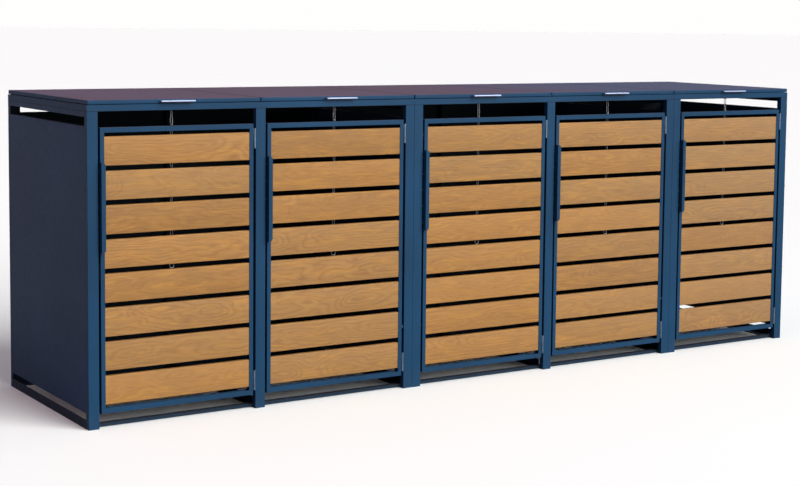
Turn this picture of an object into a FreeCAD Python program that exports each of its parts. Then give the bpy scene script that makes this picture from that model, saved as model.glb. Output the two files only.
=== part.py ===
import FreeCAD, Part
import math
import os

from FreeCAD import Vector

os.makedirs("parts", exist_ok=True)

# Overall sizes in millimetres. The store is one run of free-standing steel units, set side by side.
height = 1180.0
depth = 840.0
a_count = 2
b_count = 2
c_count = 1
bay_clear = 618.0
unit_gap = 0.4

# Posts are rectangular steel tubes
post_w = 40.0
post_d = 25.0
tube_wall = 2.0

# The top frame is a folded channel that lies on the posts, open to the inside
rail_h = 23.0
rail_d = 30.0

# Each lid is an inverted sheet tray that rests on rubber buffers
lid_lip = 15.5
lid_seam = 1.5
lid_sheet = 2.0
lid_gap = 3.0
buffer_w = 12.0
buffer_l = 20.0
buffer_inset = 45.0

# Side and back panels are folded sheet, with a slot for air under a narrow band, lower at the back
sheet = 1.5
panel_return = 20.0
panel_bottom = 58.0
band_h = 20.0
vent_slot = 34.0
back_slot = 28.0

# Base rails are angles that stand on the ground between the posts
angle_h = 33.0
angle_w = 40.0
rear_angle_w = 25.0
angle_t = 3.0
sill_w = 35.0
sill_h = 9.0

# Doors: a channel frame with slats let into it
door_bottom = 54.0
door_air_gap = 58.0
door_depth = 24.0
latch_gap = 8.0
hinge_gap = 10.0
door_stile = 16.0
door_rail = 18.0
door_wall = 2.0
slat_count = 8
slat_h = 104.0
slat_end_gap = 13.7
slat_ease = 1.5

# Door grip: a folded strip on the free stile, its outer edge with cut corners
grip_len = 323.0
grip_drop = 123.0
grip_reach = 18.0
grip_flange = 16.0
grip_lap = 14.0
grip_corner = 8.0

# Lid grip: a bright folded tab under the middle of the lid's front edge
tab_w = 132.0
tab_reach = 20.0
tab_lip = 4.5
tab_t = 1.5
tab_drop = 4.5

# Hinges: a leaf and a knuckle on each side, and a loose pin with a head. Small rounds have a few flats.
leaf_t = 2.0
round_sides = 10
pin_r = 2.5
pin_head = 1.5
door_knuckle_r = 4.5
door_hinge_h = 74.0
door_hinge_inset = 18.0
door_leaf_d = 20.0
lid_knuckle_r = 5.0
lid_hinge_w = 80.0
lid_hinge_inset = 100.0
lid_axis_off = 5.4

# Lid chain: welded links with a snap hook for the bin's own lid
chain_wire = 2.7
link_w = 12.0
link_pitch = 25.7
link_count = 22
link_bevel = 0.25
hook_w = 20.0
hook_len = 48.0
hook_wire = 4.0
eye_t = 3.0
eye_set_back = 47.0
eye_drop = 14.0
eye_hole_r = 2.6
eye_rim = 3.5

# Magnet catch behind the free stile
catch_h = 60.0
catch_t = 2.0
catch_lap = 18.0
magnet_r = 6.0
magnet_len = 6.0

# Named clearances
bearing_play = 0.06
end_play = 0.3
seat_play = 0.3

# Levels and planes worked out from the sizes above
hinge_back = lid_axis_off + lid_knuckle_r
front = -(depth + hinge_back - tab_reach) / 2.0
back = front + depth
lid_bottom = height - lid_lip
rail_top = lid_bottom - lid_seam
rail_bottom = rail_top - rail_h
panel_top = rail_bottom - band_h - vent_slot
back_panel_top = rail_bottom - band_h - back_slot
bays_in_unit = {"a": a_count, "b": b_count, "c": c_count}
run_w = sum(n * bay_clear + (n + 1) * post_w for n in bays_in_unit.values())
run_w += unit_gap * (len(bays_in_unit) - 1)
door_top = rail_bottom - door_air_gap
hinge_axis_z = rail_top + lid_seam / 2.0


def block(x0, x1, y0, y1, z0, z1):
    return Part.makeBox(x1 - x0, y1 - y0, z1 - z0, Vector(x0, y0, z0))


def placed(shape, place):
    moved = shape.copy()
    moved.Placement = place
    return moved


def save(node, solids):
    Part.makeCompound(solids).exportStep("parts/%s.step" % node)


# Set-out of the units, their posts and their bays, from left to right
units = []
bays = []
x = -run_w / 2.0
for name, count in bays_in_unit.items():
    step = bay_clear + post_w
    unit = {"name": name, "left": x, "right": x + count * step + post_w}
    unit["posts"] = [x + i * step for i in range(count + 1)]
    unit["bays"] = []
    for i in range(count):
        bay = {"left": x + i * step + post_w, "right": x + (i + 1) * step}
        first, last = i == 0, i == count - 1
        bay["lid_left"] = (unit["left"] if first else bay["left"] - post_w / 2.0) + lid_gap / 2.0
        bay["lid_right"] = (unit["right"] if last else bay["right"] + post_w / 2.0) - lid_gap / 2.0
        unit["bays"].append(bay)
        bays.append(bay)
    units.append(unit)
    x = unit["right"] + unit_gap


# Posts: tubes at the front and back of every bay side, cut off square under the top frame
def post(left, y0):
    outer = block(left, left + post_w, y0, y0 + post_d, 0, rail_bottom)
    bore = block(left + tube_wall, left + post_w - tube_wall,
                 y0 + tube_wall, y0 + post_d - tube_wall, 0, rail_bottom)
    return outer.cut(bore)


# Top frame: one welded frame of channel, with a closed rail over each middle post
def top_frame(unit):
    frame = block(unit["left"], unit["right"], front, back, rail_bottom, rail_top)
    frame = frame.cut(block(unit["left"] + tube_wall, unit["right"] - tube_wall, front + tube_wall,
                            back - tube_wall, rail_bottom + tube_wall, rail_top - tube_wall))
    for bay in unit["bays"]:
        left = bay["left"] if bay is not unit["bays"][0] else unit["left"] + rail_d
        right = bay["right"] if bay is not unit["bays"][-1] else unit["right"] - rail_d
        frame = frame.cut(block(left, right, front + rail_d, back - rail_d, rail_bottom, rail_top))
    for left in unit["posts"][1:-1]:
        for web in (left, left + post_w - tube_wall):
            frame = frame.fuse(block(web, web + tube_wall, front + rail_d, back - rail_d,
                                     rail_bottom + tube_wall, rail_top - tube_wall))
    return frame.removeSplitter()


# Base frame: angles at the sides and back, a tee under each middle line, and the front sill
def base_frame(unit):
    y0, y1 = front + post_d, back - post_d
    left, right = unit["left"], unit["right"]
    rails = []
    for outer, inner in ((left, 1), (right, -1)):
        foot = sorted((outer, outer + inner * angle_w))
        wall = sorted((outer, outer + inner * angle_t))
        rails.append(block(foot[0], foot[1], y0, y1, 0, angle_t).fuse(
            block(wall[0], wall[1], y0, y1, 0, angle_h)).removeSplitter())
    for x0 in unit["posts"][1:-1]:
        middle = x0 + post_w / 2.0
        rails.append(block(x0, x0 + post_w, y0, y1, 0, angle_t).fuse(
            block(middle - angle_t / 2.0, middle + angle_t / 2.0, y0 + sill_w, y1, 0, angle_h)
        ).removeSplitter())
    for bay in unit["bays"]:
        rails.append(block(bay["left"], bay["right"], back - rear_angle_w, back, 0, angle_t).fuse(
            block(bay["left"], bay["right"], back - angle_t, back, 0, angle_h)).removeSplitter())
    sill = block(left + angle_t, right - angle_t, y0, y0 + sill_w, angle_t, angle_t + sill_h)
    hollow = block(left + angle_t, right - angle_t, y0 + tube_wall, y0 + sill_w - tube_wall,
                   angle_t, angle_t + sill_h - tube_wall)
    rails.append(sill.cut(hollow))
    return rails


# Panels: a sheet with its four edges turned in, so that it is a shallow tray on its side
def folded_panel(x0, x1, y0, y1, z0, z1, inward):
    low, high = [x0, y0, z0], [x1, y1, z1]
    low_in, high_in = [v + sheet for v in low], [v - sheet for v in high]
    for axis in (0, 1):
        if inward[axis] > 0:
            high_in[axis] = high[axis]
        elif inward[axis] < 0:
            low_in[axis] = low[axis]
    outer = block(low[0], high[0], low[1], high[1], low[2], high[2])
    return outer.cut(block(low_in[0], high_in[0], low_in[1], high_in[1], low_in[2], high_in[2]))


def side_panels(unit):
    made = []
    for outer, inward in ((unit["left"], 1), (unit["right"], -1)):
        x0, x1 = sorted((outer, outer + inward * panel_return))
        for z0, z1 in ((panel_bottom, panel_top), (rail_bottom - band_h, rail_bottom)):
            made.append(folded_panel(x0, x1, front + post_d, back - post_d, z0, z1, (inward, 0)))
    return made


def back_panels(unit):
    made = []
    for bay in unit["bays"]:
        for z0, z1 in ((panel_bottom, back_panel_top), (rail_bottom - band_h, rail_bottom)):
            made.append(folded_panel(bay["left"], bay["right"], back - panel_return, back,
                                     z0, z1, (0, -1)))
    return made


# Door frame: a welded channel, open to the inside, that holds the ends of the slats
def door_frame(bay):
    x0, x1 = bay["left"] + latch_gap, bay["right"] - hinge_gap
    z0, z1 = door_bottom, door_top
    frame = block(x0, x1, front, front + door_depth, z0, z1)
    frame = frame.cut(block(x0 + door_wall, x1 - door_wall, front + door_wall,
                            front + door_depth - door_wall, z0 + door_wall, z1 - door_wall))
    return frame.cut(block(x0 + door_stile, x1 - door_stile, front, front + door_depth,
                           z0 + door_rail, z1 - door_rail))


# Slats: planks with eased front edges, let into both stiles
def door_slats(bay):
    x0 = bay["left"] + latch_gap + door_wall + seat_play
    x1 = bay["right"] - hinge_gap - door_wall - seat_play
    y0 = front + door_wall + seat_play
    y1 = front + door_depth - door_wall - seat_play
    low = door_bottom + door_rail + slat_end_gap
    high = door_top - door_rail - slat_end_gap
    pitch = (high - low - slat_h) / (slat_count - 1)
    slats = []
    for i in range(slat_count):
        z0 = low + i * pitch
        plank = block(x0, x1, y0, y1, z0, z0 + slat_h)
        eased = [e for e in plank.Edges
                 if e.BoundBox.YMax < y0 + slat_ease and e.BoundBox.XLength > slat_h]
        slats.append(plank.makeChamfer(slat_ease, eased))
    return slats


# Door grip: a web lapped on the stile's edge and a flange turned across its front
def door_grip(bay):
    x0, y0 = bay["left"] + latch_gap - leaf_t, front - grip_reach
    x1 = x0 + grip_flange
    z1 = door_top - grip_drop
    z0 = z1 - grip_len
    web = block(x0, x0 + leaf_t, y0, front + grip_lap, z0, z1)
    outline = [(x0, z0), (x1 - grip_corner, z0), (x1, z0 + grip_corner),
               (x1, z1 - grip_corner), (x1 - grip_corner, z1), (x0, z1), (x0, z0)]
    face = Part.Face(Part.makePolygon([Vector(x, y0, z) for x, z in outline]))
    return web.fuse(face.extrude(Vector(0, leaf_t, 0))).removeSplitter()


# Hinge parts stand on their pin's axis at the origin, with the pin along Z
def rod(radius, z0, z1, inside=False):
    """A round bar or bore as a prism; a bore's flats, not its corners, are at the radius."""
    reach = radius / math.cos(math.pi / round_sides) if inside else radius
    turns = [2.0 * math.pi * i / round_sides for i in range(round_sides + 1)]
    outline = Part.makePolygon([Vector(reach * math.cos(a), reach * math.sin(a), z0) for a in turns])
    return Part.Face(outline).extrude(Vector(0, 0, z1 - z0))


def hinge_half(radius, length, upper, plate_of):
    """One leaf with its knuckle: plate_of gives the plate between two levels, from a distance on."""
    z0, z1 = (length / 2.0 + end_play, length) if upper else (0, length / 2.0)
    half = plate_of(radius + end_play, 0, length).fuse(plate_of(0, z0, z1)).fuse(rod(radius, z0, z1))
    return half.cut(rod(pin_r + bearing_play, 0, length, True)).removeSplitter()


def door_leaf(moving):
    side = -1 if moving else 1

    def plate(near, z0, z1):
        x0, x1 = sorted((side * hinge_gap / 2.0, side * (hinge_gap / 2.0 - leaf_t)))
        return block(x0, x1, near, door_leaf_d, z0, z1)
    return hinge_half(door_knuckle_r, door_hinge_h, moving, plate)


def lid_leaf(moving):
    """Flat on the back: before the hinge is laid down, x runs downwards and y backwards."""
    side = -1 if moving else 1
    reach = (lid_lip if moving else rail_h) + lid_seam / 2.0 - end_play

    def plate(near, z0, z1):
        x0, x1 = sorted((side * near, side * reach))
        return block(x0, x1, -lid_axis_off, leaf_t - lid_axis_off, z0, z1)
    return hinge_half(lid_knuckle_r, lid_hinge_w, moving, plate)


def hinge_pin(radius, length):
    head = rod(radius - end_play, length, length + pin_head)
    return rod(pin_r, 0, length).fuse(head).removeSplitter()


def door_hinge_places(bay):
    low = door_bottom + door_hinge_inset
    high = door_top - door_hinge_inset - door_hinge_h
    return [FreeCAD.Placement(Vector(bay["right"] - hinge_gap / 2.0, front, z), FreeCAD.Rotation())
            for z in (low, high)]


def lid_hinge_places(bay):
    """The pin lies along X behind the top frame; the fixed leaf hangs down and the other goes up."""
    turn = FreeCAD.Rotation(Vector(0, 1, 0), 90)
    centres = (bay["lid_left"] + lid_hinge_inset, bay["lid_right"] - lid_hinge_inset - lid_hinge_w)
    return [FreeCAD.Placement(Vector(x0, back + lid_axis_off, hinge_axis_z), turn) for x0 in centres]


# Lid: an inverted tray with the eye for its chain welded underneath
def lid(bay):
    x0, x1 = bay["lid_left"], bay["lid_right"]
    tray = block(x0, x1, front, back, lid_bottom, height).cut(
        block(x0 + lid_sheet, x1 - lid_sheet, front + lid_sheet, back - lid_sheet,
              lid_bottom, height - lid_sheet))
    middle, y, z = (x0 + x1) / 2.0, front + eye_set_back, height - lid_sheet - eye_drop
    rim = eye_hole_r + eye_rim
    across = FreeCAD.Placement(Vector(middle - eye_t / 2.0, y, z), FreeCAD.Rotation(Vector(0, 1, 0), 90))
    eye = placed(rod(rim, 0, eye_t), across).fuse(
        block(middle - eye_t / 2.0, middle + eye_t / 2.0, y - rim, y + rim, z, height - lid_sheet))
    hole = placed(rod(eye_hole_r, 0, eye_t, True), across)
    return tray.fuse(eye).cut(hole).removeSplitter()


# Lid grip: lapped on the lid's front lip, it runs forward and turns down at its edge
def lid_grip(bay):
    middle = (bay["lid_left"] + bay["lid_right"]) / 2.0
    x0, x1 = middle - tab_w / 2.0, middle + tab_w / 2.0
    z1 = height - tab_drop
    foot = block(x0, x1, front - tab_t, front, lid_bottom, z1)
    shelf = block(x0, x1, front - tab_reach, front, z1 - tab_t, z1)
    edge = block(x0, x1, front - tab_reach, front - tab_reach + tab_t, z1 - tab_lip, z1)
    return foot.fuse(shelf).fuse(edge).removeSplitter()


# Chain links are flat welded rings, each turned a quarter from the last
def ring(width, length, wire, across):
    """A ring with bevelled corners that hangs from the origin, its top wire's centre line there."""
    def loop(points):
        return Part.makePolygon([Vector(p, -wire / 2.0, z) for p, z in points + points[:1]])
    side, top, bottom, cut = width / 2.0, wire / 2.0, wire / 2.0 - length, width * link_bevel
    outer = loop([(side - cut, top), (side, top - cut), (side, bottom + cut), (side - cut, bottom),
                  (cut - side, bottom), (-side, bottom + cut), (-side, top - cut), (cut - side, top)])
    side, top, bottom = side - wire, top - wire, bottom + wire
    inner = loop([(side, top), (side, bottom), (-side, bottom), (-side, top)])
    made = Part.Face([outer, inner]).extrude(Vector(0, wire, 0))
    if not across:
        made.rotate(Vector(0, 0, 0), Vector(0, 0, 1), 90)
    return made


def lid_chain(bay):
    middle, y = (bay["lid_left"] + bay["lid_right"]) / 2.0, front + eye_set_back
    z = height - lid_sheet - eye_drop
    link_len = link_pitch + 2.0 * chain_wire + seat_play
    pieces = []
    for i in range(link_count):
        link = ring(link_w, link_len, chain_wire, i % 2 == 0)
        link.translate(Vector(middle, y, z - i * link_pitch))
        pieces.append(link)
    hook = ring(hook_w, hook_len, hook_wire, link_count % 2 == 0)
    hook.translate(Vector(middle, y, z - link_count * link_pitch + (hook_wire - chain_wire) / 2.0))
    pieces.append(hook)
    return pieces


# Turn a rod from Z to Y and put its start at a point
def laid_along_y(shape, x0, y0, z0):
    return placed(shape, FreeCAD.Placement(Vector(x0, y0, z0), FreeCAD.Rotation(Vector(1, 0, 0), -90)))


# Magnet catch: a plate on the back of the post, with a round magnet facing the stile. Its tongue runs
# behind the door, and its foot is as thick as it takes to clear a door deeper than the post.
def door_catch(bay):
    z = (door_bottom + door_top) / 2.0
    z0, z1 = z - catch_h / 2.0, z + catch_h / 2.0
    post_x, x1 = bay["left"], bay["left"] + latch_gap + door_stile
    centre = bay["left"] + latch_gap + door_stile / 2.0
    stile_back = front + door_depth + seat_play
    y0 = max(front + post_d, stile_back)
    foot = block(post_x - catch_lap, post_x, front + post_d, y0 + catch_t, z0, z1)
    plate = foot.fuse(block(post_x, x1, y0, y0 + catch_t, z0, z1)).removeSplitter()
    hole = laid_along_y(rod(magnet_r + end_play, 0, catch_t, True), centre, y0, z)
    magnet = laid_along_y(rod(magnet_r, 0, magnet_len), centre, stile_back, z)
    return [plate.cut(hole), magnet]


# Rubber buffers stand on the top frame under each lid's side lips
def lid_buffers(bay):
    made = []
    for x0 in (bay["lid_left"], bay["lid_right"] - buffer_w):
        for y0 in (front + buffer_inset, (front + back - buffer_l) / 2.0):
            made.append(block(x0, x0 + buffer_w, y0, y0 + buffer_l, rail_top, lid_bottom - seat_play))
    return made


# Write every node
for unit in units:
    tubes = [post(x0, y0) for x0 in unit["posts"] for y0 in (front, back - post_d)]
    save("posts_" + unit["name"], tubes)
    save("top_frame_" + unit["name"], [top_frame(unit)])
    save("base_frame_" + unit["name"], base_frame(unit))
    save("side_panels_" + unit["name"], side_panels(unit))
    save("back_panels_" + unit["name"], back_panels(unit))

door_fixed, door_moving = door_leaf(False), door_leaf(True)
lid_fixed, lid_moving = lid_leaf(False), lid_leaf(True)

for number, bay in enumerate(bays, 1):
    save("door_frame_%d" % number, [door_frame(bay)])
    save("door_slats_%d" % number, door_slats(bay))
    save("door_handle_%d" % number, [door_grip(bay)])
    save("door_hinges_%d" % number, [placed(door_moving, p) for p in door_hinge_places(bay)])
    save("lid_%d" % number, [lid(bay)])
    save("lid_handle_%d" % number, [lid_grip(bay)])
    save("lid_hinges_%d" % number, [placed(lid_moving, p) for p in lid_hinge_places(bay)])
    save("lid_chain_%d" % number, lid_chain(bay))

save("door_hinge_leaves", [placed(door_fixed, p) for bay in bays for p in door_hinge_places(bay)])
save("lid_hinge_leaves", [placed(lid_fixed, p) for bay in bays for p in lid_hinge_places(bay)])
door_pin, lid_pin = hinge_pin(door_knuckle_r, door_hinge_h), hinge_pin(lid_knuckle_r, lid_hinge_w)
save("hinge_pins", [placed(door_pin, p) for bay in bays for p in door_hinge_places(bay)]
     + [placed(lid_pin, p) for bay in bays for p in lid_hinge_places(bay)])
save("door_catches", [piece for bay in bays for piece in door_catch(bay)])
save("lid_buffers", [piece for bay in bays for piece in lid_buffers(bay)])
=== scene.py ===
import math

import bmesh
import bpy
from mathutils import Matrix, Vector


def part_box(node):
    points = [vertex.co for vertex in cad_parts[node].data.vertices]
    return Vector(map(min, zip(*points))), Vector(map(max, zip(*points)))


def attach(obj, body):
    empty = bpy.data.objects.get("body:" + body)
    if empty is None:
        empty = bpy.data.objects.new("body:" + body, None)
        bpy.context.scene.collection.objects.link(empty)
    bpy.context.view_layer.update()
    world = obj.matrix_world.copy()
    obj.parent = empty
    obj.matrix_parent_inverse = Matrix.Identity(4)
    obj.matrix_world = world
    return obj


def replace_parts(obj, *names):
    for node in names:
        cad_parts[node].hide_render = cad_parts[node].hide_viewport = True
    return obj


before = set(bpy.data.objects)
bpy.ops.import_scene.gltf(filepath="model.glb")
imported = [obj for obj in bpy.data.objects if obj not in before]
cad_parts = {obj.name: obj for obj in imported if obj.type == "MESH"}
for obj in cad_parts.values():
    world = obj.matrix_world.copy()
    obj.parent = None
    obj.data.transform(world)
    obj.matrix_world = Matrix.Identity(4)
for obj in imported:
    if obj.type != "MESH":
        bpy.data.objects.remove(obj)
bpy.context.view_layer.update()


# Posts: rectangular steel tubes, sawn square, welded under the top frame and powder coated blue.
# The coat has a fine orange peel, softened edges, pale dust near the ground, and a painted shadow line
# where the posts meet the top frame.
def wire(tree, kind, inputs=None, **settings):
    """A node with its settings, and its inputs either set or joined to another node."""
    node = tree.nodes.new(kind)
    for name, value in settings.items():
        setattr(node, name, value)
    for key, value in (inputs or {}).items():
        if isinstance(value, bpy.types.NodeSocket):
            tree.links.new(value, node.inputs[key])
        else:
            node.inputs[key].default_value = value
    return node


def tint(red, green, blue):
    """A colour as a screen shows it, 0 to 255, as the linear values that a shader wants."""
    parts = [v / 255.0 for v in (red, green, blue)]
    return [v / 12.92 if v < 0.04045 else ((v + 0.055) / 1.055) ** 2.4 for v in parts] + [1.0]


def ramp(tree, factor, stops):
    """A ramp from (place, value) pairs, where a value is a grey or a colour."""
    node = wire(tree, "ShaderNodeValToRGB", {"Fac": factor})
    band = node.color_ramp.elements
    while len(band) < len(stops):
        band.new(0.5)
    for element, (place, value) in zip(band, stops):
        element.position = place
        element.color = value if isinstance(value, list) else (value, value, value, 1.0)
    return node.outputs["Color"]


def blend_colour(tree, factor, first, second, how="MIX"):
    node = wire(tree, "ShaderNodeMix", data_type="RGBA", blend_type=how)
    for key, value in ((0, factor), (6, first), (7, second)):
        if isinstance(value, bpy.types.NodeSocket):
            tree.links.new(value, node.inputs[key])
        else:
            node.inputs[key].default_value = value
    return node.outputs[2]


def new_finish(name, **uniform):
    """An empty material with its shader, whose uniform sockets are set here."""
    material = bpy.data.materials.new(name)
    material.use_nodes = True
    tree = material.node_tree
    shader = tree.nodes["Principled BSDF"]
    for key, value in uniform.items():
        shader.inputs[key.replace("_", " ")].default_value = value
    place = wire(tree, "ShaderNodeTexCoord")
    return material, tree, shader, place


def powder_coat(name, colour, top_dust_and_sheen, foot_dust, dust_and_sheen=(128, 112, 110)):
    """Polyester powder coat: uneven colour and gloss, orange peel, dust and a painted sheen on top,
    dust at the foot, and a painted shadow line round the joint of the posts and the top frame."""
    joint_level, joint_shadow_colour = 1.140, (0.002, 0.004, 0.008, 1.0)
    material, tree, shader, place = new_finish(name, Specular_IOR_Level=0.18)
    spot = place.outputs["Object"]
    cloud = wire(tree, "ShaderNodeTexNoise", {"Vector": spot, "Scale": 2.3, "Detail": 4.0})
    fine = wire(tree, "ShaderNodeTexNoise", {"Vector": spot, "Scale": 55.0, "Detail": 5.0})
    peel = wire(tree, "ShaderNodeTexNoise", {"Vector": spot, "Scale": 420.0, "Detail": 2.0})
    shades = ramp(tree, cloud.outputs["Fac"], [(0.3, [0.86 * v for v in colour[:3]] + [1.0]),
                                               (0.7, [1.14 * v for v in colour[:3]] + [1.0])])
    level = wire(tree, "ShaderNodeSeparateXYZ", {"Vector": spot})
    low = wire(tree, "ShaderNodeMapRange", {"Value": level.outputs["Z"], "From Min": 0.0,
                                            "From Max": 0.10, "To Min": foot_dust, "To Max": 0.0})
    # Faces that look up take the dust colour: dust, and a painted sheen on the tops.
    up = wire(tree, "ShaderNodeSeparateXYZ", {"Vector": place.outputs["Normal"]})
    flat = wire(tree, "ShaderNodeMapRange", {"Value": up.outputs["Z"], "From Min": 0.8,
                                             "From Max": 1.0, "To Min": 0.0, "To Max": top_dust_and_sheen})
    most = wire(tree, "ShaderNodeMath", {0: low.outputs[0], 1: flat.outputs[0]}, operation="MAXIMUM")
    broken = ramp(tree, fine.outputs["Fac"], [(0.3, 0.55), (0.7, 1.0)])
    amount = wire(tree, "ShaderNodeMath", {0: most.outputs[0], 1: broken}, operation="MULTIPLY")
    with_dust_and_sheen = blend_colour(tree, amount.outputs[0], shades, tint(*dust_and_sheen))
    # Painted shadow: a dark line round the joint at the level of the top frame's lower edge.
    above = wire(tree, "ShaderNodeMath", {0: level.outputs["Z"], 1: -joint_level}, operation="ADD")
    near = wire(tree, "ShaderNodeMath", {0: above.outputs[0]}, operation="ABSOLUTE")
    joint_shadow = wire(tree, "ShaderNodeMapRange", {"Value": near.outputs[0], "From Min": 0.0006,
                                              "From Max": 0.0018, "To Min": 0.8, "To Max": 0.0})
    joint_shaded = blend_colour(tree, joint_shadow.outputs[0], with_dust_and_sheen, joint_shadow_colour)
    tree.links.new(joint_shaded, shader.inputs["Base Color"])
    gloss = wire(tree, "ShaderNodeMapRange", {"Value": fine.outputs["Fac"], "To Min": 0.34,
                                              "To Max": 0.52})
    dull = wire(tree, "ShaderNodeMath", {0: gloss.outputs[0], 1: amount.outputs[0]}, operation="ADD",
                use_clamp=True)
    tree.links.new(dull.outputs[0], shader.inputs["Roughness"])
    bump = wire(tree, "ShaderNodeBump", {"Height": peel.outputs["Fac"], "Strength": 0.12,
                                         "Distance": 0.0004})
    tree.links.new(bump.outputs["Normal"], shader.inputs["Normal"])
    return material


def plain_mesh(obj):
    """The mesh of an object as its modifiers leave it."""
    bpy.context.view_layer.update()
    seen = obj.evaluated_get(bpy.context.evaluated_depsgraph_get())
    return bpy.data.meshes.new_from_object(seen)


def show(name, mesh, body, material=None):
    """Puts a finished mesh in the scene, on its body and with its material."""
    piece = bpy.data.objects.new(name, mesh)
    bpy.context.collection.objects.link(piece)
    if material:
        mesh.materials.clear()
        mesh.materials.append(material)
    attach(piece, body)
    return piece


def softened(mesh, radius):
    """The mesh with the soft edges that folding, grinding and the coat leave."""
    mesh.shade_smooth()
    sharp = bpy.data.objects.new("sharp", mesh)
    bpy.context.collection.objects.link(sharp)
    bevel = sharp.modifiers.new("Edges", "BEVEL")
    bevel.width = radius
    bevel.segments = 2
    bevel.limit_method = "ANGLE"
    level = sharp.modifiers.new("Flat faces", "WEIGHTED_NORMAL")
    level.keep_sharp = False
    made = plain_mesh(sharp)
    bpy.data.objects.remove(sharp)
    return made


def eased(node, body, material, radius, fold=0.0):
    """The node's solid with its faces whole and its edges softened, and where a fold radius is given
    with its outer folds round. An edge is a fold where it lies on two outer sides of the piece."""
    near = 1e-4
    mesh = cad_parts[node].data.copy()
    work = bmesh.new()
    work.from_mesh(mesh)
    bmesh.ops.remove_doubles(work, verts=work.verts, dist=1e-5)
    bmesh.ops.dissolve_limit(work, angle_limit=math.radians(1.0), verts=work.verts, edges=work.edges)
    if fold:
        low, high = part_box(node)
        rims = [[v.co.x < low.x + near or v.co.x > high.x - near,
                 v.co.y < low.y + near or v.co.y > high.y - near,
                 v.co.z > high.z - near] for v in work.verts]
        work.verts.index_update()
        folds = [e for e in work.edges
                 if sum(a and b for a, b in zip(*(rims[v.index] for v in e.verts))) >= 2]
        bmesh.ops.bevel(work, geom=folds, offset=fold, segments=3, profile=0.5, affect="EDGES")
    work.to_mesh(mesh)
    work.free()
    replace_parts(show(node + "_finished", softened(mesh, radius), body, material), node)


blue = powder_coat("blue powder coat", tint(19, 59, 90), top_dust_and_sheen=0.25, foot_dust=0.025)
units = ["a", "b", "c"]
for unit in units:
    eased("posts_" + unit, "store", blue, radius=0.0009)


# Top frame: folded steel channel, welded into a ring on the post tops, with a middle rail where
# a unit has two bays. Coated with the posts.
for unit in units:
    eased("top_frame_" + unit, "store", blue, radius=0.0008)


# Base frame: hot rolled angles on the ground with a folded front sill, the dustiest part.
# The rails are sawn and welded edge to edge, so their edges stay sharp.
# The base's coat is a darker copy of the blue: painted shade near the ground.
shaded_blue_near_ground = powder_coat("blue coat near the ground painted darker as shade", tint(14, 43, 64), top_dust_and_sheen=0.2, foot_dust=0.035)
for unit in units:
    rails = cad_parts["base_frame_" + unit]
    rails.data.materials.clear()
    rails.data.materials.append(shaded_blue_near_ground)


# Side and back panels: 1.5 mm sheet with turned edges, and a narrow band over the air slot.
# Faces behind the middle that look to the front, on the backs and on the blue parts, are painted dark as
# painted shade inside.
def paint_inner_shade(material, plane):
    """Darkens the faces that look to the front behind a plane: painted shade inside the store."""
    tree = material.node_tree
    shader = tree.nodes["Principled BSDF"]
    place = wire(tree, "ShaderNodeTexCoord")
    facing = wire(tree, "ShaderNodeSeparateXYZ", {"Vector": place.outputs["Normal"]})
    inner = wire(tree, "ShaderNodeMath", {0: facing.outputs["Y"], 1: -0.5}, operation="LESS_THAN")
    depth = wire(tree, "ShaderNodeSeparateXYZ", {"Vector": place.outputs["Object"]})
    behind = wire(tree, "ShaderNodeMath", {0: depth.outputs["Y"], 1: plane}, operation="GREATER_THAN")
    both = wire(tree, "ShaderNodeMath", {0: inner.outputs[0], 1: behind.outputs[0]}, operation="MULTIPLY")
    coat = shader.inputs["Base Color"].links[0].from_socket
    thin = blend_colour(tree, both.outputs[0], coat, tint(16, 32, 44))
    tree.links.new(thin, shader.inputs["Base Color"])


# The sides' coat is a redder copy of the blue: a painted warm reflection on the sides in shade.
side_blue_with_painted_reflection = powder_coat("blue coat on the sides with painted reflection", tint(26, 60, 93), top_dust_and_sheen=0.25, foot_dust=0.025)
back_blue = powder_coat("blue coat on the backs", tint(19, 59, 90), top_dust_and_sheen=0.25, foot_dust=0.025)
back_half = 0.3
# Painted shade: the inner faces at the back are darkened, on the backs and on the other blue parts.
for coat in (back_blue, blue):
    paint_inner_shade(coat, back_half)
for unit in units:
    eased("side_panels_" + unit, "store", side_blue_with_painted_reflection, radius=0.0006)
    eased("back_panels_" + unit, "store", back_blue, radius=0.0006)


# Door frames: steel channel, welded at the corners and open to the inside, where it takes the
# ends of the slats. Coated with the rest.
doors = range(1, 6)
for number in doors:
    eased("door_frame_%d" % number, "door_%d" % number, blue, radius=0.0008)


# Slats: eight planks in each door, oak coloured, with eased long edges, let into both stiles.
# Each plank is flat sawn: its rings are cut near the face, so they show as lines and arches.
def new_tree(name, sizes):
    """A Geometry Nodes tree with named inputs, and the sockets that its group input gives."""
    tree = bpy.data.node_groups.new(name, "GeometryNodeTree")
    tree.interface.new_socket("Geometry", in_out="INPUT", socket_type="NodeSocketGeometry")
    for label, kind in sizes.items():
        tree.interface.new_socket(label, in_out="INPUT", socket_type="NodeSocket" + kind)
    tree.interface.new_socket("Geometry", in_out="OUTPUT", socket_type="NodeSocketGeometry")
    return tree, wire(tree, "NodeGroupInput").outputs


def end_tree(tree, instances, finish):
    real = wire(tree, "GeometryNodeRealizeInstances", {"Geometry": instances})
    coated = wire(tree, "GeometryNodeSetMaterial", {"Geometry": real.outputs[0], "Material": finish})
    smooth = wire(tree, "GeometryNodeSetShadeSmooth", {"Geometry": coated.outputs[0],
                                                       "Shade Smooth": False})
    wire(tree, "NodeGroupOutput", {"Geometry": smooth.outputs[0]})


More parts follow.
